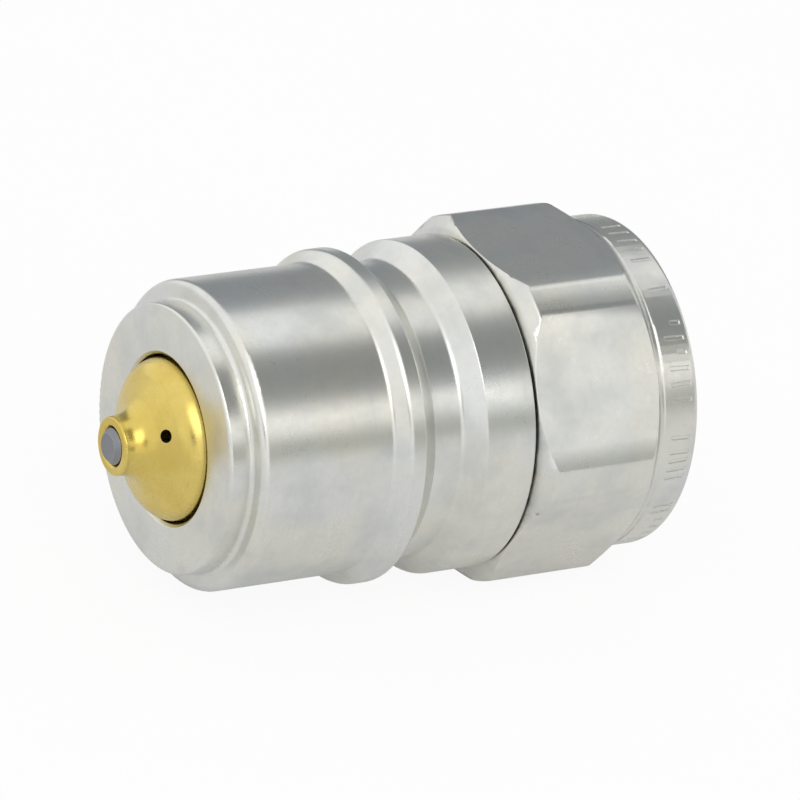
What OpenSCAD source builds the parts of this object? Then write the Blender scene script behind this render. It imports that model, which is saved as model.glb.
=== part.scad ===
// Plug half of a poppet quick coupling with a G 1/2 female port.
// Each piece is drawn round the Z axis, with the front face of the nose at z = 0
// and the port at the far end. lay() then puts the whole coupling on one flat of
// its hexagon, nose towards -X, with the origin under the middle of its length.

/* [Nose and locking groove] */
// Diameter of the main cylinder, which the sleeve of the other half slides over
nose_d = 29.3; // [28.6:0.1:30.4]
// Length of the nose, from the front face to the locking bead
nose_len = 16.2; // [14.5:0.1:22]
// Diameter of the stepped-down tip
tip_d = 25.5; // [24.5:0.1:27]
// Length of the stepped-down tip
tip_len = 2.35; // [1.5:0.05:4]
// Rounding of the shoulder behind the tip
shoulder_round = 0.75; // [0.3:0.05:0.9]
// Rounding in the corner between tip and shoulder
tip_cove = 0.45; // [0.2:0.05:0.5]
// Rounding of the rim of the front face
rim_round = 0.3; // [0.1:0.05:0.5]
// Diameter of the bead in front of the locking groove
bead_d = 31.75; // [31:0.05:31.9]
// Length of the ramp up to the bead
bead_ramp = 1.25; // [0.8:0.05:2]
// Length of the top of the bead
bead_top = 1.45; // [1:0.05:3]
// Length of the slope from the bead down to the groove
bead_slope = 2; // [1.5:0.05:3]
// Diameter at the bottom of the locking groove
groove_d = 28.2; // [27.5:0.1:29]
// Length of the bottom of the locking groove
groove_len = 3; // [2.5:0.1:5]
// Length of the cone from the groove up to the collar
collar_ramp = 1.65; // [1:0.05:3]
// Diameter of the collar between the groove and the hexagon
collar_d = 31.8; // [31:0.05:31.9]
// Length of the collar
collar_len = 5.25; // [4.8:0.05:9]

/* [Hexagon and marking collar] */
// Width of the hexagon across its flats
hex_af = 32; // [32:0.5:33]
// Diameter of the bar that the hexagon is milled from, which rounds its corners
bar_d = 35.1; // [34.5:0.1:36]
// Gap that shows between the collar and the hexagon
seam = 0.2; // [0.1:0.05:0.4]
// Length of the flats along their middle
flat_len = 13.35; // [11:0.05:20]
// Length of the chamfer on the front corners of the hexagon
front_chamfer = 1.3; // [0.8:0.05:2]
// Length of the chamfer on the rear corners of the hexagon
rear_chamfer = 1.2; // [0.8:0.05:2]
// Width of the turned relief behind the flats
relief_w = 0.85; // [0.5:0.05:1.5]
// Depth of that relief below the marking collar
relief_depth = 0.12; // [0.05:0.01:0.3]
// Diameter of the marking collar
mark_d = 31.85; // [31:0.05:31.9]
// Length of the marking collar
mark_len = 3.7; // [3:0.1:8]
// Rounding of the rear edge
rear_round = 0.7; // [0.2:0.05:1.2]

/* [Port and joint of the two body halves] */
// Minor diameter of the G 1/2 port thread
port_d = 18.63; // [18.6:0.01:19]
// Diameter at the mouth of the port's chamfer
port_mouth_d = 21.6; // [21:0.1:23]
// Length of the port thread
port_len = 15; // [13:0.1:15.5]
// Diameter of the flow bore ahead of the port
flow_d = 16; // [14:0.1:17]
// Diameter of the thread that joins the two halves
joint_d = 26; // [25.5:0.1:26.4]
// Length of that thread
joint_len = 4.4; // [3.5:0.1:4.6]
// Diameter of the pilot ahead of that thread
pilot_d = 24; // [23.6:0.1:24.4]
// Length of the pilot
pilot_len = 4.4; // [4:0.1:4.6]
// Depth of the seal groove in the pilot
gland_depth = 1.5; // [1.2:0.05:1.8]
// Length of the seal groove in the pilot
gland_len = 3.2; // [3:0.1:3.4]
// Thickness of the backup ring
backup_t = 1.1; // [0.8:0.1:1.4]

/* [Mouth, seat and poppet] */
// Diameter of the opening in the front face
mouth_d = 16; // [15.5:0.1:17]
// Length of the opening ahead of the conical seat
mouth_len = 2.4; // [1.8:0.1:3.2]
// Chamfer on the edge of the opening
mouth_chamfer = 0.3; // [0.1:0.05:0.6]
// Diameter of the chamber behind the seat
chamber_d = 21.6; // [21:0.1:22]
// Gap between the rim of the poppet and the opening
mouth_gap = 0.3; // [0.2:0.05:0.5]
// Gap between the metal of the poppet and its seat
seat_gap = 0.3; // [0.2:0.05:0.4]
// Largest diameter of the poppet
head_d = 18.9; // [18.5:0.1:19.5]
// Thickness of the poppet's head behind its cone
head_t = 2; // [1.6:0.1:3]
// Reach of the brass tip ahead of the front face
tip_reach = 5.5; // [4.5:0.1:6.5]
// Diameter of the brass tip
brass_tip_d = 5.6; // [5.2:0.1:6.2]
// Place where the flank of the flare would meet the tip, ahead of the front face
flare_root = 3.36; // [3:0.02:3.8]
// Place where the flank of the flare would meet the rim, ahead of the front face
flare_rim = 1.03; // [0.7:0.01:1.4]
// Radius of the hollow of the flare
flare_hollow_r = 2.6; // [1.5:0.1:2.8]
// Radius of the rounded rim of the flare
flare_rim_r = 2.5; // [1.5:0.1:3]
// Diameter of the boss behind the poppet's head
boss_d = 12; // [11:0.1:12.6]
// Length of that boss
boss_len = 5.5; // [4.8:0.1:6]
// Diameter of the thread between poppet and stem
stem_joint_d = 8; // [7.6:0.1:8.6]
// Length of the thread between poppet and stem
stem_joint_len = 3.6; // [3:0.1:3.8]
// Section of the poppet seal
poppet_seal_d = 1.9; // [1.6:0.05:2]
// Gap between the poppet seal and the seat
seal_lift = 0.1; // [0.05:0.05:0.2]
// Travel of the poppet
poppet_travel = 5; // [3:0.5:5]
// Diameter of the bleed hole
bleed_d = 1.25; // [0.8:0.05:1.5]
// Angle between the bleed hole and the axis
bleed_angle = 40; // [36:1:48]
// Distance of the bleed hole's mouth from the axis
bleed_r = 4.95; // [4.5:0.05:5.4]
// Direction of the bleed hole round the axis, counted from straight down
bleed_turn = 234.5; // [0:0.5:360]

/* [Stem and guide] */
// Diameter of the stem
stem_d = 7; // [6.6:0.1:7.4]
// Length of the stem behind its flange
stem_len = 14.5; // [12:0.5:16]
// Thickness of the stem's flange
stem_flange = 1.5; // [1:0.1:2]
// Diameter of the passage through the stem
stem_bore_d = 2.4; // [2:0.1:2.8]
// Outer diameter of the guide's hub
hub_d = 11; // [10.6:0.1:11.6]
// Length of the guide's hub
hub_len = 6; // [5:0.5:7]
// Thickness of the guide's plate
plate_t = 2; // [1.6:0.1:2.2]
// Width of the guide's outer ring
guide_ring_w = 1.2; // [1:0.1:1.5]
// Step between the guide's hub and its windows
window_step = 0.6; // [0.3:0.1:0.9]
// Number of flow windows in the guide
windows = 4; // [3:1:6]
// Width of the arms between the windows
arm_w = 2.6; // [2:0.1:3.5]
// Wall of the bush that the stem slides in
bush_wall = 0.8; // [0.6:0.1:1]
// Play between poppet stem and guide when the poppet is fully open
stop_gap = 0.3; // [0.2:0.05:0.5]
// Thickness of the retaining ring
ring_t = 1; // [0.8:0.1:1.1]
// Radial width of the retaining ring
ring_w = 1.5; // [1.2:0.1:1.8]
// Depth of the retaining ring's groove
ring_groove = 0.7; // [0.5:0.1:0.8]
// Opening between the ends of the retaining ring
ring_opening = 5; // [3:0.5:7]

/* [Springs and relief valve] */
// Wire of the main spring
spring_wire = 1.4; // [1:0.1:1.5]
// Outer diameter of the main spring
spring_d = 16.8; // [16:0.1:17.5]
// Turns of the main spring
spring_turns = 4; // [3:0.5:4.5]
// Diameter of the relief pin
pin_d = 3.5; // [3.2:0.1:3.7]
// Distance that the relief pin stands out of the brass tip
pin_proud = 0.4; // [0.2:0.1:0.8]
// Chamfer round the end of the relief pin
pin_chamfer = 0.45; // [0.2:0.05:0.7]
// Length of the guided end of the relief pin
pin_guide_len = 3.5; // [3:0.1:3.8]
// Diameter of the relief pin's waist
waist_d = 2.2; // [1.8:0.1:2.5]
// Diameter of the relief valve's head
relief_head_d = 5.6; // [5.4:0.1:5.7]
// Length of the relief valve's head behind its cone
relief_head_len = 2; // [1.6:0.1:2.4]
// Length of the spigot that centres the relief spring
relief_spigot_len = 1.5; // [1:0.1:2]
// Gap between the metal of the relief valve and its seat
relief_gap = 0.2; // [0.15:0.05:0.25]
// Diameter of the bore behind the relief seat
relief_bore_d = 6.2; // [6.1:0.1:6.4]
// Distance of the relief seat behind the front face
relief_seat = 3; // [2.8:0.1:3.2]
// Section of the relief valve's seal
relief_seal_d = 1; // [0.9:0.05:1.1]
// Travel of the relief pin in the poppet
relief_travel = 1.2; // [0.6:0.1:1.4]
// Wire of the relief spring
relief_wire = 0.5; // [0.4:0.05:0.6]
// Outer diameter of the relief spring
relief_spring_d = 4; // [3.8:0.1:4.2]
// Turns of the relief spring
relief_turns = 6; // [4:0.5:7]
// Depth of the relief spring's seat in the stem, from the stem's front end
relief_spring_seat = 5.4; // [4.5:0.1:6]

/* [Clearances] */
// Radial clearance of everything that slides or screws
slide_gap = 0.05; // [0.03:0.01:0.09]
// Radial clearance of the relief pin in the brass tip
pin_gap = 0.09; // [0.05:0.01:0.1]
// Clearance round a seal in its groove
seal_gap = 0.03; // [0.02:0.01:0.05]
// Gap between pieces that only face each other
face_gap = 0.1; // [0.05:0.05:0.15]

/* [Hidden] */
$fn = 96;

// Places along the axis, from the front face
z_ramp = nose_len;
z_bead = z_ramp + bead_ramp;
z_slope = z_bead + bead_top;
z_groove = z_slope + bead_slope;
z_cone = z_groove + groove_len;
z_collar = z_cone + collar_ramp;
z_seam = z_collar + collar_len;
z_hex = z_seam + seam;
z_flat_end = z_hex + flat_len;
z_mark = z_flat_end + relief_w;
total_len = z_mark + mark_len;
z_thread = z_hex - joint_len;
z_pilot = z_thread - pilot_len;

// Main seat: a 45 degree cone from the mouth out to the chamber
z_seat_end = mouth_len + (chamber_d - mouth_d) / 2;
diagonal = sqrt(2);

// Poppet
rim_r = mouth_d / 2 - mouth_gap;
z_head_cone = mouth_len + seat_gap * diagonal - mouth_gap;
z_head = z_head_cone + head_d / 2 - rim_r;
z_head_back = z_head + head_t;
z_boss_end = z_head_back + boss_len;
z_stem_joint = z_boss_end - stem_joint_len - face_gap;
z_flange_end = z_boss_end + stem_flange;
z_stem_end = z_flange_end + stem_len;
seal_seat_r = (mouth_d / 2 + head_d / 2 + 0.45) / 2;
seal_in = (poppet_seal_d / 2 + seal_lift) / diagonal;
seal_at = [seal_seat_r - seal_in, mouth_len + seal_seat_r - mouth_d / 2 + seal_in];

// Guide, held between the spring and the retaining ring
z_guide = z_flange_end + poppet_travel + stop_gap;
z_ring = z_guide + plate_t + slide_gap;
window_in = hub_d / 2 + window_step;
window_out = chamber_d / 2 - slide_gap - guide_ring_w;
guide_bore_r = stem_d / 2 + slide_gap + bush_wall + seal_gap;

// Relief valve: a 45 degree seat inside the poppet
pin_bore_r = pin_d / 2 + pin_gap;
z_relief_bore = relief_seat + relief_bore_d / 2 - pin_bore_r;
z_relief_cone = relief_seat + waist_d / 2 - pin_bore_r + relief_gap * diagonal;
z_relief_head = z_relief_cone + (relief_head_d - waist_d) / 2;
z_relief_back = z_relief_head + relief_head_len;
relief_in = (relief_seal_d / 2 + seal_lift / 2) / diagonal;
relief_seal_r = (pin_bore_r + relief_head_d / 2 + 0.3) / 2;
relief_seal_at = [relief_seal_r - relief_in, relief_seat + relief_seal_r - pin_bore_r + relief_in];
relief_spigot_r = relief_spring_d / 2 - relief_wire - 2 * face_gap;
front_reach = tip_reach + pin_proud;

// ---- Helpers -------------------------------------------------------------

function unit(v) = v / norm(v);
function xy(p) = [p[0], p[1]];

// An outline from corners [radius, z, rounding], given anticlockwise.
// Every rounded corner is a true arc.
module rounded_outline(corners) {
    n = len(corners);
    arcs = [for (i = [0:n - 1]) if (corners[i][2] > 0)
        let (b = xy(corners[i]),
             u = unit(xy(corners[(i + n - 1) % n]) - b),
             v = unit(xy(corners[(i + 1) % n]) - b),
             half = acos(u * v) / 2,
             r = corners[i][2],
             cut = r / tan(half),
             centre = b + unit(u + v) * r / sin(half),
             turn = v[0] * u[1] - v[1] * u[0])
        [b + u * cut, b + v * cut, centre, r, turn > 0, b]];
    points = [for (i = [0:n - 1])
        let (b = xy(corners[i]),
             u = unit(xy(corners[(i + n - 1) % n]) - b),
             v = unit(xy(corners[(i + 1) % n]) - b),
             cut = corners[i][2] > 0 ? corners[i][2] / tan(acos(u * v) / 2) : 0)
        each (cut > 0 ? [b + u * cut, b + v * cut] : [b])];
    difference() {
        union() {
            polygon(points);
            for (arc = arcs) if (arc[4]) sector(arc);
        }
        for (arc = arcs) if (!arc[4]) sector(arc);
    }
}

// The slice of an arc's circle between its two ends
module sector(arc) {
    centre = arc[2];
    intersection() {
        translate(centre) circle(arc[3]);
        polygon([centre, centre + 1.4 * (arc[0] - centre), centre + 1.4 * (arc[5] - centre),
                 centre + 1.4 * (arc[1] - centre)]);
    }
}

module turned(corners) {
    rotate_extrude() rounded_outline(corners);
}

// A bore or ring-shaped space from z1 to z2
module bore(d, z1, z2) {
    translate([0, 0, z1]) cylinder(d = d, h = z2 - z1);
}

module ring(d, section, z) {
    translate([0, 0, z]) rotate_extrude() translate([d / 2, 0]) circle(d = section);
}

// A round-wire compression spring between two planes
module coil(d, wire, turns, z1, z2, sides, steps) {
    r = (d - wire) / 2;
    rings = turns * steps;
    rise = z2 - z1 - wire;
    points = [for (i = [0:rings]) for (j = [0:sides - 1])
        let (turn = 360 * i / steps, side = 360 * j / sides,
             out = r + wire / 2 * cos(side))
        [out * cos(turn), out * sin(turn), z1 + wire / 2 + rise * i / rings + wire / 2 * sin(side)]];
    walls = [for (i = [0:rings - 1]) for (j = [0:sides - 1])
        let (k = (j + 1) % sides)
        [i * sides + j, (i + 1) * sides + j, (i + 1) * sides + k, i * sides + k]];
    caps = [[for (j = [0:sides - 1]) j], [for (j = [sides - 1:-1:0]) rings * sides + j]];
    polyhedron(points, concat(walls, caps), convexity = 10);
}

// Puts a piece drawn round Z where it lies in the finished coupling
module lay() {
    translate([-(total_len - front_reach) / 2, 0, hex_af / 2]) rotate([0, 90, 0]) children();
}

// ---- Body ----------------------------------------------------------------

// Turned body half with the mouth, the main seat, the bead and the groove
module nose_body() {
    color("silver") lay() difference() {
        turned([
            [mouth_d / 2 - 1, 0, 0], [tip_d / 2, 0, rim_round], [tip_d / 2, tip_len, tip_cove],
            [nose_d / 2, tip_len, shoulder_round], [nose_d / 2, z_ramp, 0.6],
            [bead_d / 2, z_bead, 0.6], [bead_d / 2, z_slope, 0.25],
            [groove_d / 2, z_groove, 0.3], [groove_d / 2, z_cone, 0.6],
            [collar_d / 2, z_collar, 0.15], [collar_d / 2, z_seam, 0.15],
            [mouth_d / 2 - 1, z_seam, 0]
        ]);
        rotate_extrude() polygon([
            [0, -1], [mouth_d / 2 + mouth_chamfer + 1, -1], [mouth_d / 2, mouth_chamfer],
            [mouth_d / 2, mouth_len], [chamber_d / 2, z_seat_end],
            [chamber_d / 2, z_pilot - 2 * face_gap], [pilot_d / 2, z_pilot - 2 * face_gap],
            [pilot_d / 2, z_thread - face_gap], [joint_d / 2, z_thread - face_gap],
            [joint_d / 2, z_seam + 1], [0, z_seam + 1]
        ]);
        bore(chamber_d + 2 * ring_groove, z_ring, z_ring + ring_t + 2 * slide_gap);
    }
}

// Hexagonal half with the port, screwed into the back of the nose body
module port_adapter() {
    corner_r = bar_d / 2;
    flat_r = hex_af / 2;
    relief_r = mark_d / 2 - relief_depth;
    rear_slope = (corner_r - flat_r) / rear_chamfer;
    z_relief = z_flat_end + (flat_r - relief_r) / rear_slope;
    color("silver") lay() difference() {
        union() {
            turned([
                [flow_d / 2 - 1, z_pilot, 0], [pilot_d / 2 - slide_gap, z_pilot, 0.2],
                [pilot_d / 2 - slide_gap, z_thread, 0], [joint_d / 2 - slide_gap, z_thread, 0.2],
                [joint_d / 2 - slide_gap, z_hex + 1, 0], [flow_d / 2 - 1, z_hex + 1, 0]
            ]);
            intersection() {
                turned([
                    [flow_d / 2 - 1, z_hex, 0], [flat_r - face_gap, z_hex, 0],
                    [corner_r, z_hex + front_chamfer, 0.5],
                    [corner_r, z_flat_end - rear_chamfer, 0.5],
                    [relief_r, z_relief, 0.8], [relief_r, z_mark - relief_depth, 0],
                    [mark_d / 2, z_mark, 0], [mark_d / 2, total_len, rear_round],
                    [flow_d / 2 - 1, total_len, 0]
                ]);
                rotate([0, 0, 30]) translate([0, 0, z_hex - 1])
                    cylinder(r = flat_r / cos(30), h = total_len, $fn = 6);
            }
        }
        rotate_extrude() polygon([
            [0, z_pilot - 1], [flow_d / 2, z_pilot - 1],
            [flow_d / 2, total_len - port_len - (port_d - flow_d) / 2],
            [port_d / 2, total_len - port_len],
            [port_d / 2, total_len - (port_mouth_d - port_d) / 2],
            [port_mouth_d / 2 + 1, total_len + 1], [0, total_len + 1]
        ]);
        difference() {
            bore(pilot_d + 1, gland_z(), gland_z() + gland_len);
            bore(pilot_d - 2 * gland_depth, gland_z() - 1, gland_z() + gland_len + 1);
        }
    }
}
function gland_z() = z_pilot + (pilot_len - gland_len) / 2 + face_gap;

// O-ring of the joint, flattened between its groove and the bore
module body_seal() {
    half = gland_depth / 2 - seal_gap;
    stretch = (gland_len - backup_t - 3 * seal_gap) / 2 - half;
    color("dimgray") lay()
        translate([0, 0, gland_z() + seal_gap + half + stretch])
        rotate_extrude() translate([pilot_d / 2 - gland_depth / 2, 0]) {
            for (end = [-stretch, stretch]) translate([0, end]) circle(half);
            translate([-half, -stretch]) square([2 * half, 2 * stretch]);
        }
}

module backup_ring() {
    color("ivory") lay() difference() {
        bore(pilot_d - 2 * seal_gap, gland_z() + gland_len - seal_gap - backup_t,
             gland_z() + gland_len - seal_gap);
        bore(pilot_d - 2 * gland_depth + 2 * seal_gap, z_pilot, z_hex);
    }
}

// ---- Valve ---------------------------------------------------------------

// Turned brass poppet with its flared front and the relief valve's seat
module poppet() {
    color("gold") lay() difference() {
        turned([
            [1, -tip_reach, 0], [brass_tip_d / 2, -tip_reach, 0.25],
            [brass_tip_d / 2, -flare_root, flare_hollow_r], [rim_r, -flare_rim, flare_rim_r],
            [rim_r, z_head_cone, 0], [head_d / 2, z_head, 0.2], [head_d / 2, z_head_back, 0.2],
            [boss_d / 2, z_head_back, 0.4], [boss_d / 2, z_boss_end, 0.2], [1, z_boss_end, 0]
        ]);
        rotate_extrude() polygon([
            [0, -tip_reach - 1], [pin_bore_r + 1.2, -tip_reach - 1],
            [pin_bore_r, -tip_reach + 0.2], [pin_bore_r, relief_seat],
            [relief_bore_d / 2, z_relief_bore], [relief_bore_d / 2, z_stem_joint - face_gap],
            [stem_joint_d / 2, z_stem_joint - face_gap], [stem_joint_d / 2, z_boss_end + 1],
            [0, z_boss_end + 1]
        ]);
        rotate_extrude() translate(seal_at) circle(poppet_seal_d / 2 + seal_gap);
        bleed_hole();
    }
}

// Drilled from the flank of the flare to the space round the relief pin's waist
module bleed_hole() {
    slope = (rim_r - brass_tip_d / 2) / (flare_root - flare_rim);
    mouth_z = -flare_root + (bleed_r - brass_tip_d / 2) / slope;
    depth = (bleed_r - waist_d / 2) / sin(bleed_angle);
    rotate([0, 0, bleed_turn]) translate([bleed_r, 0, mouth_z]) rotate([0, -bleed_angle, 0])
        translate([0, 0, -2]) cylinder(d = bleed_d, h = depth + 2);
}

module poppet_seal() {
    color("dimgray") lay() ring(2 * seal_at[0], poppet_seal_d, seal_at[1]);
}

// Hollow stem screwed into the poppet: guides it and carries the relief spring
module poppet_stem() {
    color("goldenrod") lay() difference() {
        turned([
            [1, z_stem_joint, 0], [stem_joint_d / 2 - slide_gap, z_stem_joint, 0.2],
            [stem_joint_d / 2 - slide_gap, z_boss_end, 0], [boss_d / 2, z_boss_end, 0.2],
            [boss_d / 2, z_flange_end, 0.3], [stem_d / 2, z_flange_end, 0.2],
            [stem_d / 2, z_stem_end, 0.5], [1, z_stem_end, 0]
        ]);
        bore(relief_spring_d + 0.4, z_stem_joint - 1, z_stem_joint + relief_spring_seat);
        bore(stem_bore_d, z_stem_joint, z_stem_end + 1);
    }
}

// Guide with its hub, arms and outer ring
module valve_guide() {
    window_turn = 360 / windows;
    color("lightgray") lay() difference() {
        union() {
            bore(chamber_d - 2 * slide_gap, z_guide, z_guide + plate_t);
            turned([
                [1, z_guide, 0], [hub_d / 2, z_guide, 0], [hub_d / 2, z_guide + hub_len, 0.4],
                [1, z_guide + hub_len, 0]
            ]);
        }
        bore(2 * guide_bore_r, z_guide - 1, z_guide + hub_len + 1);
        for (i = [0:windows - 1]) rotate([0, 0, (i + 0.5) * window_turn])
            translate([0, 0, z_guide - 1]) window(window_turn / 2);
    }
}

// One flow window: a ring slice that leaves half an arm on each side
module window(half_turn) {
    far = 2 * window_out;
    start = arm_w / 2 / sin(half_turn);
    linear_extrude(plate_t + 2) intersection() {
        difference() {
            circle(window_out);
            circle(window_in);
        }
        polygon([
            [start, 0], [start + far * cos(half_turn), far * sin(half_turn)], [far * 2, 0],
            [start + far * cos(half_turn), -far * sin(half_turn)]
        ]);
    }
}

module guide_bush() {
    color("peru") lay() difference() {
        bore(2 * (guide_bore_r - seal_gap), z_guide + face_gap, z_guide + hub_len - face_gap);
        bore(stem_d + 2 * slide_gap, z_guide - 1, z_guide + hub_len + 1);
    }
}

// Open ring that snaps into its groove behind the guide
module retaining_ring() {
    out = chamber_d / 2 + ring_groove - slide_gap;
    in = chamber_d / 2 + ring_groove - ring_w;
    eye = ring_opening / 2 + 1;
    color("slategray") lay() translate([0, 0, z_ring + slide_gap]) linear_extrude(ring_t)
        difference() {
            union() {
                difference() {
                    circle(out);
                    circle(in);
                    translate([0, -ring_opening / 2]) square([2 * out, ring_opening]);
                }
                for (side = [-1, 1]) translate([in - 0.2, side * eye]) circle(1.1);
            }
            for (side = [-1, 1]) translate([in - 0.2, side * eye]) circle(0.5);
        }
}

module main_spring() {
    color("gray") lay()
        coil(spring_d, spring_wire, spring_turns, z_head_back + seal_gap, z_guide - seal_gap, 8, 24);
}

// ---- Relief valve --------------------------------------------------------

// Steel pin with its valve head, opened by the pin of the other half
module relief_pin() {
    color("slategray") lay() difference() {
        rotate_extrude() polygon([
            [0, -front_reach], [pin_d / 2 - pin_chamfer, -front_reach],
            [pin_d / 2, -front_reach + pin_chamfer], [pin_d / 2, pin_guide_len - tip_reach],
            [waist_d / 2, pin_guide_len - tip_reach + 0.4], [waist_d / 2, z_relief_cone],
            [relief_head_d / 2, z_relief_head], [relief_head_d / 2, z_relief_back],
            [relief_spigot_r, z_relief_back], [relief_spigot_r, z_relief_back + relief_spigot_len],
            [0, z_relief_back + relief_spigot_len]
        ]);
        rotate_extrude() translate(relief_seal_at) circle(relief_seal_d / 2 + seal_gap / 2);
    }
}

module relief_seal() {
    color("dimgray") lay() ring(2 * relief_seal_at[0], relief_seal_d, relief_seal_at[1]);
}

module relief_spring() {
    color("gray") lay()
        coil(relief_spring_d, relief_wire, relief_turns, z_relief_back + seal_gap,
             z_stem_joint + relief_spring_seat - seal_gap, 6, 20);
}

nose_body();
port_adapter();
body_seal();
backup_ring();
poppet();
poppet_seal();
poppet_stem();
valve_guide();
guide_bush();
retaining_ring();
main_spring();
relief_pin();
relief_seal();
relief_spring();
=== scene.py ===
"""Looks of the plug half of a poppet quick coupling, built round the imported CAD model.

The coupling lies on one flat of its hexagon with its axis along X, 16 mm above the
floor, and its nose towards -X. Lengths of the coupling are written in millimetres and
turned into metres by mm(). The camera and the stage are in metres.
"""
import math
import random

import bmesh
import bpy
from mathutils import Matrix, Vector

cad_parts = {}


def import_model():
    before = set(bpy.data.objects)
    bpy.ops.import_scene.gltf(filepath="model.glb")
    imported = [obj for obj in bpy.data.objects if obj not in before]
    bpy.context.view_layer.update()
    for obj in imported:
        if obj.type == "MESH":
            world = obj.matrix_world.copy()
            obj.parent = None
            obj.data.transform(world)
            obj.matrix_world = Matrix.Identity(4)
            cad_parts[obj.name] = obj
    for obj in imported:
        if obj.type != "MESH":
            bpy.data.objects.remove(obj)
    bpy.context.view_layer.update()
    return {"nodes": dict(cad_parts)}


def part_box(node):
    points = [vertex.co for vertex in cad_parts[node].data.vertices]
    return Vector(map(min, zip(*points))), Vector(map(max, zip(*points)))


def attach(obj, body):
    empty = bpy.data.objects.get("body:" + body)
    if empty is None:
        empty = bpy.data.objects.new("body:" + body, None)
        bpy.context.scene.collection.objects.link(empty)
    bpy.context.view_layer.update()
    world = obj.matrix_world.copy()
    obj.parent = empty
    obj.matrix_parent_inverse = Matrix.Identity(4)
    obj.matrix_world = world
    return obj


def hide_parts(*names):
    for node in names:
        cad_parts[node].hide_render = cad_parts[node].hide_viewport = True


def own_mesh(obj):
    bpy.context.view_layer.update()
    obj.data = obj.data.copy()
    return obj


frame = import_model()

AXIS_Z = 16.0      # height of the axis over the floor, mm
PORT_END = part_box("port_adapter")[1].x * 1000


def mm(value):
    return value / 1000.0


# ---- Camera ---------------------------------------------------------------

LENS = 317.66
SENSOR = 36.0
CAMERA_PLACE = (-0.32786, -0.48669, 0.32845)
CAMERA_RIGHT = (0.85926, -0.48855, 0.15162)
CAMERA_UP = (0.11778, 0.47740, 0.87076)


def add_camera():
    data = bpy.data.cameras.new("camera")
    data.lens = LENS
    data.sensor_width = SENSOR
    data.clip_start = 0.01
    data.clip_end = 20.0
    camera = bpy.data.objects.new("camera", data)
    bpy.context.scene.collection.objects.link(camera)
    right = Vector(CAMERA_RIGHT).normalized()
    up = Vector(CAMERA_UP).normalized()
    back = right.cross(up).normalized()
    up = back.cross(right)
    turn = Matrix((right, up, back)).transposed().to_4x4()
    camera.matrix_world = Matrix.Translation(CAMERA_PLACE) @ turn
    bpy.context.scene.camera = camera


add_camera()


# ---- Node helpers -----------------------------------------------------------

class Tree:
    """A material's or world's node tree, with short calls for adding nodes."""

    def __init__(self, owner):
        owner.use_nodes = True
        self.tree = owner.node_tree
        self.tree.nodes.clear()

    def add(self, kind, sockets=None, **settings):
        made = self.tree.nodes.new(kind)
        for key, value in settings.items():
            setattr(made, key, value)
        for key, value in (sockets or {}).items():
            self.put(made.inputs[key], value)
        return made

    def put(self, socket, value):
        if isinstance(value, bpy.types.NodeSocket):
            self.tree.links.new(value, socket)
        elif isinstance(value, bpy.types.Node):
            self.tree.links.new(value.outputs[0], socket)
        else:
            socket.default_value = value

    def math(self, operation, *values, clamp=False):
        made = self.add("ShaderNodeMath", dict(enumerate(values)), operation=operation)
        made.use_clamp = clamp
        return made.outputs[0]

    def vector_math(self, operation, *values):
        made = self.add("ShaderNodeVectorMath", dict(enumerate(values)), operation=operation)
        return made.outputs["Value" if operation in ("LENGTH", "DOT_PRODUCT") else "Vector"]

    def noise(self, where, scale, detail=2.0, rough=0.5):
        made = self.add("ShaderNodeTexNoise",
                        {"Vector": where, "Scale": scale, "Detail": detail, "Roughness": rough})
        return made.outputs["Factor" if "Factor" in made.outputs else "Fac"]

    def ramp(self, value, low, high, to_low=0.0, to_high=1.0):
        """Value taken from low..high to to_low..to_high, smoothly and clamped."""
        made = self.add("ShaderNodeMapRange",
                        {"Value": value, "From Min": low, "From Max": high,
                         "To Min": to_low, "To Max": to_high},
                        interpolation_type="SMOOTHSTEP")
        return made.outputs["Result"]

    def mix(self, factor, a, b, blend="MIX"):
        made = self.add("ShaderNodeMix", data_type="RGBA", blend_type=blend)
        self.put(made.inputs["Factor"], factor)
        self.put(made.inputs[6], a)
        self.put(made.inputs[7], b)
        return made.outputs[2]

    def bump(self, height, distance, strength=1.0, normal=None):
        sockets = {"Height": height, "Distance": distance, "Strength": strength}
        if normal is not None:
            sockets["Normal"] = normal
        return self.add("ShaderNodeBump", sockets).outputs["Normal"]


def rgb(r, g, b):
    return (r, g, b, 1.0)


def axis_coordinates(t):
    """Object coordinates, and ones that only change along and slowly round the axis."""
    place = t.add("ShaderNodeTexCoord").outputs["Object"]
    split = t.add("ShaderNodeSeparateXYZ", {"Vector": place})
    height = t.math("SUBTRACT", split.outputs["Z"], mm(AXIS_Z))
    y = split.outputs["Y"]
    radius = t.math("SQRT", t.math("ADD", t.math("MULTIPLY", y, y),
                                   t.math("MULTIPLY", height, height)))
    safe = t.math("MAXIMUM", radius, 1e-5)
    turned = t.math("ADD", split.outputs["X"], radius)
    round_axis = t.add("ShaderNodeCombineXYZ",
                       {"X": t.math("MULTIPLY", turned, 1000.0),
                        "Y": t.math("DIVIDE", y, safe),
                        "Z": t.math("DIVIDE", height, safe)}).outputs["Vector"]
    return place, round_axis


def finish_material(t, shader):
    out = t.add("ShaderNodeOutputMaterial")
    t.tree.links.new(shader.outputs[0], out.inputs["Surface"])


# ---- Materials ----------------------------------------------------------------

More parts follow.
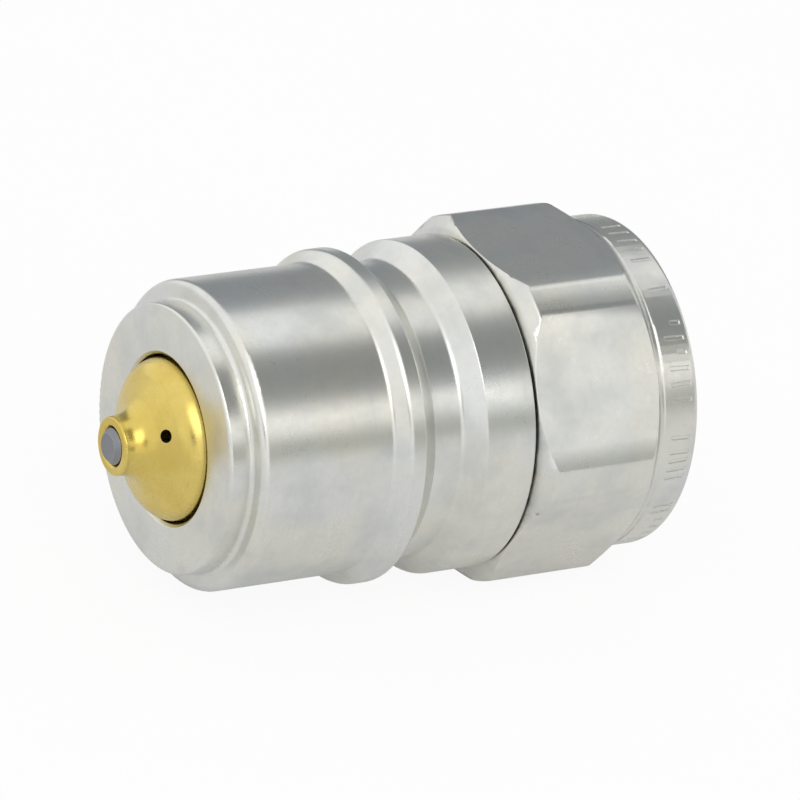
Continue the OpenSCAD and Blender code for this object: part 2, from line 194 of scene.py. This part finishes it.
def metal(name, light, dark, warm, rough, streaks=1.0, mottle=1.0, edge=0.12):
    """Turned metal: cloudy tints, fine speckle, turning marks, and edges painted paler, partly edge
    wear and partly a painted highlight.
    """
    material = bpy.data.materials.new(name)
    t = Tree(material)
    place, round_axis = axis_coordinates(t)
    cloud = t.noise(place, 190.0, 4.0, 0.6)
    speckle = t.noise(place, 1700.0, 3.0, 0.7)
    tint = t.noise(place, 75.0, 2.0, 0.5)
    turned = t.noise(round_axis, 2.6, 4.0, 0.65)
    fine_turned = t.noise(round_axis, 9.0, 3.0, 0.6)

    colour = t.mix(t.ramp(tint, 0.38, 0.62), light, warm)
    colour = t.mix(t.ramp(cloud, 0.40, 0.72, 0.0, 0.55 * mottle), colour, dark)
    colour = t.mix(t.ramp(speckle, 0.45, 0.80, 0.0, 0.22 * mottle), colour, dark)
    colour = t.mix(t.ramp(turned, 0.50, 0.80, 0.0, 0.25 * streaks), colour, dark)

    bevel = t.add("ShaderNodeBevel", {"Radius": mm(edge)}, samples=4).outputs["Normal"]
    plain = t.add("ShaderNodeNewGeometry").outputs["Normal"]
    # Edges painted paler in patches: partly edge wear, partly a painted highlight on the rims.
    worn_and_highlit_edges = t.ramp(t.vector_math("DOT_PRODUCT", bevel, plain), 0.985, 0.90, 0.0, 0.75)
    worn_and_highlit_edges = t.math("MULTIPLY", worn_and_highlit_edges, t.ramp(speckle, 0.30, 0.55))
    colour = t.mix(worn_and_highlit_edges, colour, rgb(0.93, 0.92, 0.88))

    roughness = t.math("ADD", rough,
                       t.math("ADD", t.math("MULTIPLY", t.math("SUBTRACT", speckle, 0.5), 0.10),
                              t.math("MULTIPLY", t.math("SUBTRACT", cloud, 0.5), 0.14)))
    relief = t.math("ADD", t.math("MULTIPLY", fine_turned, 0.5 * streaks),
                    t.math("MULTIPLY", speckle, 0.5 * mottle))
    normal = t.bump(relief, mm(0.012), 0.40, bevel)
    shader = t.add("ShaderNodeBsdfPrincipled",
                   {"Base Color": colour, "Metallic": 1.0, "Roughness": roughness,
                    "Normal": normal})
    finish_material(t, shader)
    return material


def dull(name, light, dark, rough, scale, bump=0.02):
    """Rubber or plastic: faint mottling and a grained surface."""
    material = bpy.data.materials.new(name)
    t = Tree(material)
    place = t.add("ShaderNodeTexCoord").outputs["Object"]
    cloud = t.noise(place, scale, 3.0, 0.6)
    grain = t.noise(place, scale * 8, 2.0, 0.5)
    colour = t.mix(t.ramp(cloud, 0.35, 0.65), light, dark)
    roughness = t.math("ADD", rough, t.math("MULTIPLY", t.math("SUBTRACT", grain, 0.5), 0.2))
    shader = t.add("ShaderNodeBsdfPrincipled",
                   {"Base Color": colour, "Roughness": roughness,
                    "Normal": t.bump(grain, mm(bump), 0.5)})
    finish_material(t, shader)
    return material


STEEL = metal("zinc_plated", rgb(0.78, 0.79, 0.765), rgb(0.60, 0.62, 0.615),
              rgb(0.80, 0.79, 0.72), 0.30)
HEXAGON = metal("zinc_plated_hexagon", rgb(0.76, 0.77, 0.745), rgb(0.59, 0.61, 0.61),
                rgb(0.78, 0.77, 0.71), 0.30, streaks=0.6)
BRASS = metal("brass_turned", rgb(0.76, 0.57, 0.13), rgb(0.56, 0.40, 0.08),
              rgb(0.82, 0.65, 0.20), 0.27, mottle=0.6, edge=0.04)
GUIDE = metal("guide_turned", rgb(0.60, 0.60, 0.61), rgb(0.42, 0.42, 0.43),
              rgb(0.62, 0.61, 0.57), 0.34)
BRONZE = metal("bush_bronze", rgb(0.55, 0.38, 0.22), rgb(0.36, 0.24, 0.13),
               rgb(0.60, 0.42, 0.24), 0.42, edge=0.05)
SPRING = metal("spring_wire", rgb(0.52, 0.52, 0.53), rgb(0.32, 0.32, 0.33),
               rgb(0.55, 0.53, 0.49), 0.32, edge=0.04)
PIN = metal("pin_ground", rgb(0.27, 0.28, 0.31), rgb(0.19, 0.20, 0.22),
            rgb(0.30, 0.30, 0.31), 0.35, edge=0.05)
RUBBER = dull("seal_rubber", rgb(0.030, 0.030, 0.032), rgb(0.018, 0.018, 0.018), 0.55, 500.0)
PLASTIC = dull("backup_plastic", rgb(0.82, 0.81, 0.76), rgb(0.74, 0.72, 0.66), 0.45, 400.0)

LOOKS = {
    "nose_body": STEEL, "port_adapter": HEXAGON, "body_seal": RUBBER,
    "backup_ring": PLASTIC, "poppet": BRASS, "poppet_seal": RUBBER,
    "poppet_stem": BRASS, "valve_guide": GUIDE, "guide_bush": BRONZE,
    "retaining_ring": SPRING, "main_spring": SPRING, "relief_pin": PIN,
    "relief_seal": RUBBER, "relief_spring": SPRING,
}


def dress(thing, material):
    thing.data.materials.clear()
    thing.data.materials.append(material)


def smooth(thing, degrees=28):
    thing.data.shade_smooth()
    thing.data.set_sharp_from_angle(angle=math.radians(degrees))


for node_name, look in LOOKS.items():
    dress(frame["nodes"][node_name], look)
    smooth(frame["nodes"][node_name])


# ---- Mesh helpers ---------------------------------------------------------------

def mesh_object(name, points, faces):
    mesh = bpy.data.meshes.new(name)
    mesh.from_pydata([Vector(p) for p in points], [], faces)
    mesh.update()
    thing = bpy.data.objects.new(name, mesh)
    bpy.context.scene.collection.objects.link(thing)
    return thing


def face_outwards(thing):
    shape = bmesh.new()
    shape.from_mesh(thing.data)
    bmesh.ops.recalc_face_normals(shape, faces=shape.faces)
    shape.to_mesh(thing.data)
    shape.free()


def swept(name, sections):
    """A closed solid through a row of sections with the same number of points."""
    sides = len(sections[0])
    points = [p for section in sections for p in section]
    faces = []
    for i in range(len(sections) - 1):
        for j in range(sides):
            k = (j + 1) % sides
            faces.append((i * sides + j, i * sides + k, (i + 1) * sides + k, (i + 1) * sides + j))
    last = (len(sections) - 1) * sides
    faces.append(tuple(reversed(range(sides))))
    faces.append(tuple(range(last, last + sides)))
    thing = mesh_object(name, points, faces)
    face_outwards(thing)
    return thing


def on_axis(x, radius, angle):
    """A point in the row frame, from mm along and out from the axis and radians round it."""
    return (mm(x), mm(-radius * math.cos(angle)), mm(AXIS_Z + radius * math.sin(angle)))


def cut(thing, tool):
    """Takes the closed solid tool out of thing."""
    modifier = thing.modifiers.new("cut", "BOOLEAN")
    modifier.operation = "DIFFERENCE"
    modifier.object = tool
    modifier.solver = "EXACT"
    bpy.context.view_layer.update()
    shaped = bpy.data.meshes.new_from_object(
        thing.evaluated_get(bpy.context.evaluated_depsgraph_get()))
    thing.modifiers.clear()
    thing.data = shaped
    bpy.data.objects.remove(tool)


# ---- Springs ----------------------------------------------------------------------

def spring(name, node_name, wire, turns, closed, body):
    """Round-wire spring with closed, ground ends, in the space of its CAD node."""
    low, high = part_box(node_name)
    x1, x2 = low.x * 1000, high.x * 1000
    radius = (high.y - low.y) * 1000 / 2 - wire / 2
    sides, steps = 16, 60
    total = int(turns * steps)
    free = x2 - x1 - wire * (1 + 2 * closed)
    sections = []
    for i in range(total + 1):
        turn = i / steps
        rise = wire * min(turn, closed) + wire * max(0.0, turn - (turns - closed))
        rise += free * min(1.0, max(0.0, (turn - closed) / (turns - 2 * closed)))
        middle = x1 + wire / 2 + rise
        section = []
        for j in range(sides):
            side = 2 * math.pi * j / sides
            x = min(max(middle + wire / 2 * math.sin(side), x1), x2)
            section.append(on_axis(x, radius + wire / 2 * math.cos(side), 2 * math.pi * turn))
        sections.append(section)
    made = swept(name, sections)
    dress(made, SPRING)
    smooth(made, 50)
    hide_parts(node_name)
    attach(made, body)
    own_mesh(made)
    return made


spring("spring_main", "main_spring", 1.4, 4.5, 0.75, "housing")
spring("spring_relief", "relief_spring", 0.5, 8, 1.0, "main_valve")


# ---- Port half with its thread and marks ---------------------------------------------

PITCH = 1.814
MINOR_R = 9.315
MAJOR_R = 10.4775
THREAD_LEAD_IN = 1.2       # how far the groove starts outside the mouth
THREAD_LENGTH = 13.2
CREST_SINK = 0.35          # how far inside the bore the tool's open side lies
ROOT_HALF = 0.17
GROOVE_HALF = 0.85
FLANK = math.radians(27.5)
RUN_OUT_TURNS = 0.6

STAMP_R = 15.925           # radius of the marking collar
STAMP_BACK = 1.95          # middle of the band, from the port's end
STAMP_TALL = 2.1
STAMP_DEEP = 0.10
STROKE_HALF = 0.19
STROKE_LEAN = 0.05
# Each kind's strokes as (shift round the collar, start, share of the height), and its width
MARKS = {
    "bar": (((0.0, 0.0, 1.0),), 1.5),
    "pair": (((0.0, 0.0, 1.0), (0.9, 0.0, 1.0)), 2.4),
    "short": (((0.0, 0.25, 0.5),), 1.4),
    "gap": ((), 2.2),
}


def thread_tool():
    """The helical groove of the port thread, from outside the mouth to its run-out."""
    steps = 72
    start = PORT_END + THREAD_LEAD_IN
    total = int((start - (PORT_END - THREAD_LENGTH)) / PITCH * steps)
    run_out = steps * RUN_OUT_TURNS
    crest = MINOR_R - CREST_SINK
    sections = []
    for i in range(total + 1):
        x = start - PITCH * i / steps
        share = min(1.0, (total - i) / run_out)
        deep = crest + (MAJOR_R - crest) * max(share, 0.05)
        wide = min(ROOT_HALF + (deep - crest) * math.tan(FLANK), GROOVE_HALF)
        angle = 2 * math.pi * i / steps
        sections.append([on_axis(x - wide, crest, angle), on_axis(x - ROOT_HALF, deep, angle),
                         on_axis(x + ROOT_HALF, deep, angle), on_axis(x + wide, crest, angle)])
    return swept("thread_tool", sections)


def stamp_tool():
    """Plain strokes of a generic stamped band, sunk into the marking collar."""
    dice = random.Random(7)
    points, faces = [], []
    x_mid = PORT_END - STAMP_BACK
    half = STROKE_HALF / STAMP_R
    angle = 0.0
    while angle < 2 * math.pi - 0.06:
        strokes, width = MARKS[dice.choice(("bar", "bar", "pair", "short", "gap"))]
        for shift, raised, share in strokes:
            base = len(points)
            middle = angle + shift / STAMP_R
            lean = dice.uniform(-STROKE_LEAN, STROKE_LEAN)
            x_low = x_mid - STAMP_TALL * share / 2 + raised * STAMP_TALL
            x_high = x_low + STAMP_TALL * share
            for x in (x_low, x_high):
                for radius in (STAMP_R - STAMP_DEEP, STAMP_R + 0.4):
                    for side in (-half, half):
                        place = middle + side + lean * (x - x_mid) / STAMP_R
                        points.append(on_axis(x, radius, place))
            faces += [tuple(base + k for k in face) for face in
                      ((0, 1, 3, 2), (4, 6, 7, 5), (0, 4, 5, 1), (2, 3, 7, 6), (0, 2, 6, 4),
                       (1, 5, 7, 3))]
        angle += width / STAMP_R
    made = mesh_object("stamp_tool", points, faces)
    face_outwards(made)
    return made


def port_half():
    source = frame["nodes"]["port_adapter"].data.copy()
    made = bpy.data.objects.new("port_half", source)
    bpy.context.scene.collection.objects.link(made)
    shape = bmesh.new()
    shape.from_mesh(source)
    bmesh.ops.remove_doubles(shape, verts=shape.verts, dist=mm(0.0005))
    shape.to_mesh(source)
    shape.free()
    cut(made, thread_tool())
    cut(made, stamp_tool())
    dress(made, HEXAGON)
    smooth(made, 20)
    even = made.modifiers.new("even", "WEIGHTED_NORMAL")
    even.keep_sharp = True
    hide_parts("port_adapter")
    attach(made, "housing")
    return made


port_half()


# ---- Floor, light and reflections ---------------------------------------------------

FLOOR_HALF = 4.0
# Shares of plain white that the camera and reflections see in the floor
CAMERA_WHITE = 0.92
GLOSSY_WHITE = 0.25
WORLD_LIGHT = 0.72
MIDDLE = (0, 0, mm(AXIS_Z))


def stage_plane(name, corners, material):
    thing = mesh_object(name, corners, [tuple(range(len(corners)))])
    thing.data.materials.append(material)
    return thing


def floor():
    material = bpy.data.materials.new("floor_paper")
    t = Tree(material)
    ray = t.add("ShaderNodeLightPath").outputs
    place = t.add("ShaderNodeTexCoord").outputs["Object"]
    shade = t.ramp(t.noise(place, 40.0, 3.0), 0.3, 0.7, 0.80, 0.82)
    # Paler where the camera looks at it, so that the background is white
    shade = t.math("ADD", shade, t.math("MULTIPLY", ray["Is Camera Ray"], 0.17))
    paper = t.add("ShaderNodeBsdfDiffuse", {"Color": t.add(
        "ShaderNodeCombineColor", {"Red": shade, "Green": shade, "Blue": shade})})
    white = t.add("ShaderNodeEmission", {"Color": rgb(1, 1, 1), "Strength": 1.0})
    seen = t.math("ADD", t.math("MULTIPLY", ray["Is Camera Ray"], CAMERA_WHITE),
                  t.math("MULTIPLY", ray["Is Glossy Ray"], GLOSSY_WHITE))
    mixed = t.add("ShaderNodeMixShader", {0: seen, 1: paper.outputs[0], 2: white.outputs[0]})
    finish_material(t, mixed)
    s = FLOOR_HALF
    stage_plane("floor", [(-s, -s, 0), (s, -s, 0), (s, s, 0), (-s, s, 0)], material)


def world():
    made = bpy.data.worlds.new("studio")
    bpy.context.scene.world = made
    t = Tree(made)
    ray = t.add("ShaderNodeLightPath").outputs
    seen = t.math("MAXIMUM", ray["Is Camera Ray"],
                  t.math("MAXIMUM", ray["Is Glossy Ray"], ray["Is Transmission Ray"]))
    light = t.add("ShaderNodeBackground", {"Color": rgb(1, 1, 1), "Strength": WORLD_LIGHT})
    white = t.add("ShaderNodeBackground", {"Color": rgb(1, 1, 1), "Strength": 1.0})
    mixed = t.add("ShaderNodeMixShader", {0: seen, 1: light.outputs[0], 2: white.outputs[0]})
    out = t.add("ShaderNodeOutputWorld")
    t.tree.links.new(mixed.outputs[0], out.inputs["Surface"])


def painted_reflection_sheet(name, colour, middle, right, up):
    """A glowing grey sheet, no lamp, that only shows in reflections: a painted reflection."""
    material = bpy.data.materials.new(name)
    t = Tree(material)
    finish_material(t, t.add("ShaderNodeEmission", {"Color": colour, "Strength": 1.0}))
    middle, right, up = Vector(middle), Vector(right), Vector(up)
    thing = stage_plane(name, [middle - right - up, middle + right - up,
                               middle + right + up, middle - right + up], material)
    thing.visible_camera = False
    thing.visible_diffuse = False
    thing.visible_shadow = False
    thing.visible_transmission = False


def lamp(name, place, look_at, size, radiance, colour):
    """An area lamp whose surface shines as bright as radiance says."""
    data = bpy.data.lights.new(name, "AREA")
    data.shape = "RECTANGLE"
    data.size, data.size_y = size
    data.energy = radiance * math.pi * size[0] * size[1]
    data.color = colour
    thing = bpy.data.objects.new(name, data)
    bpy.context.scene.collection.objects.link(thing)
    place = Vector(place)
    back = (place - Vector(look_at)).normalized()
    right = Vector((1, 0, 0))
    right = (right - right.dot(back) * back).normalized()
    up = back.cross(right)
    thing.matrix_world = Matrix.Translation(place) @ Matrix((right, up, back)).transposed().to_4x4()
    thing.visible_camera = False


bpy.context.scene.view_settings.view_transform = "Standard"
floor()
world()
# Glowing sheets that only show in reflections: painted dark reflections where the room behind and
# above would be, which the upper side shows
painted_reflection_sheet("painted_reflection_back", rgb(0.27, 0.29, 0.31), (1.25, 0.9, 0.35), (1.2, 0, 0), (0, -0.25, 0.62))
painted_reflection_sheet("painted_reflection_top", rgb(0.23, 0.24, 0.24), (1.25, -0.46, 0.85), (1.2, 0, 0), (0, 0.44, 0.0))
# Painted reflections of the room in front of the product and of the camera itself
painted_reflection_sheet("painted_reflection_front", rgb(0.30, 0.31, 0.27), (1.05, -0.9, 0.23), (0.95, 0, 0), (0, -0.03, 0.14))
painted_reflection_sheet("painted_reflection_of_camera", rgb(0.05, 0.05, 0.05), (-0.55, -0.62, 0.38), (0.11, -0.09, 0), (0, 0.06, 0.12))
# The narrow gap of light between the painted reflection sheets, and the soft main light
lamp("strip", (0.42, -0.56, 0.38), MIDDLE, (0.5, 0.025), 1.5, (1.0, 0.94, 0.80))
lamp("key", (-0.30, -0.60, 0.80), MIDDLE, (0.7, 0.7), 1.3, (1.0, 0.99, 0.97))
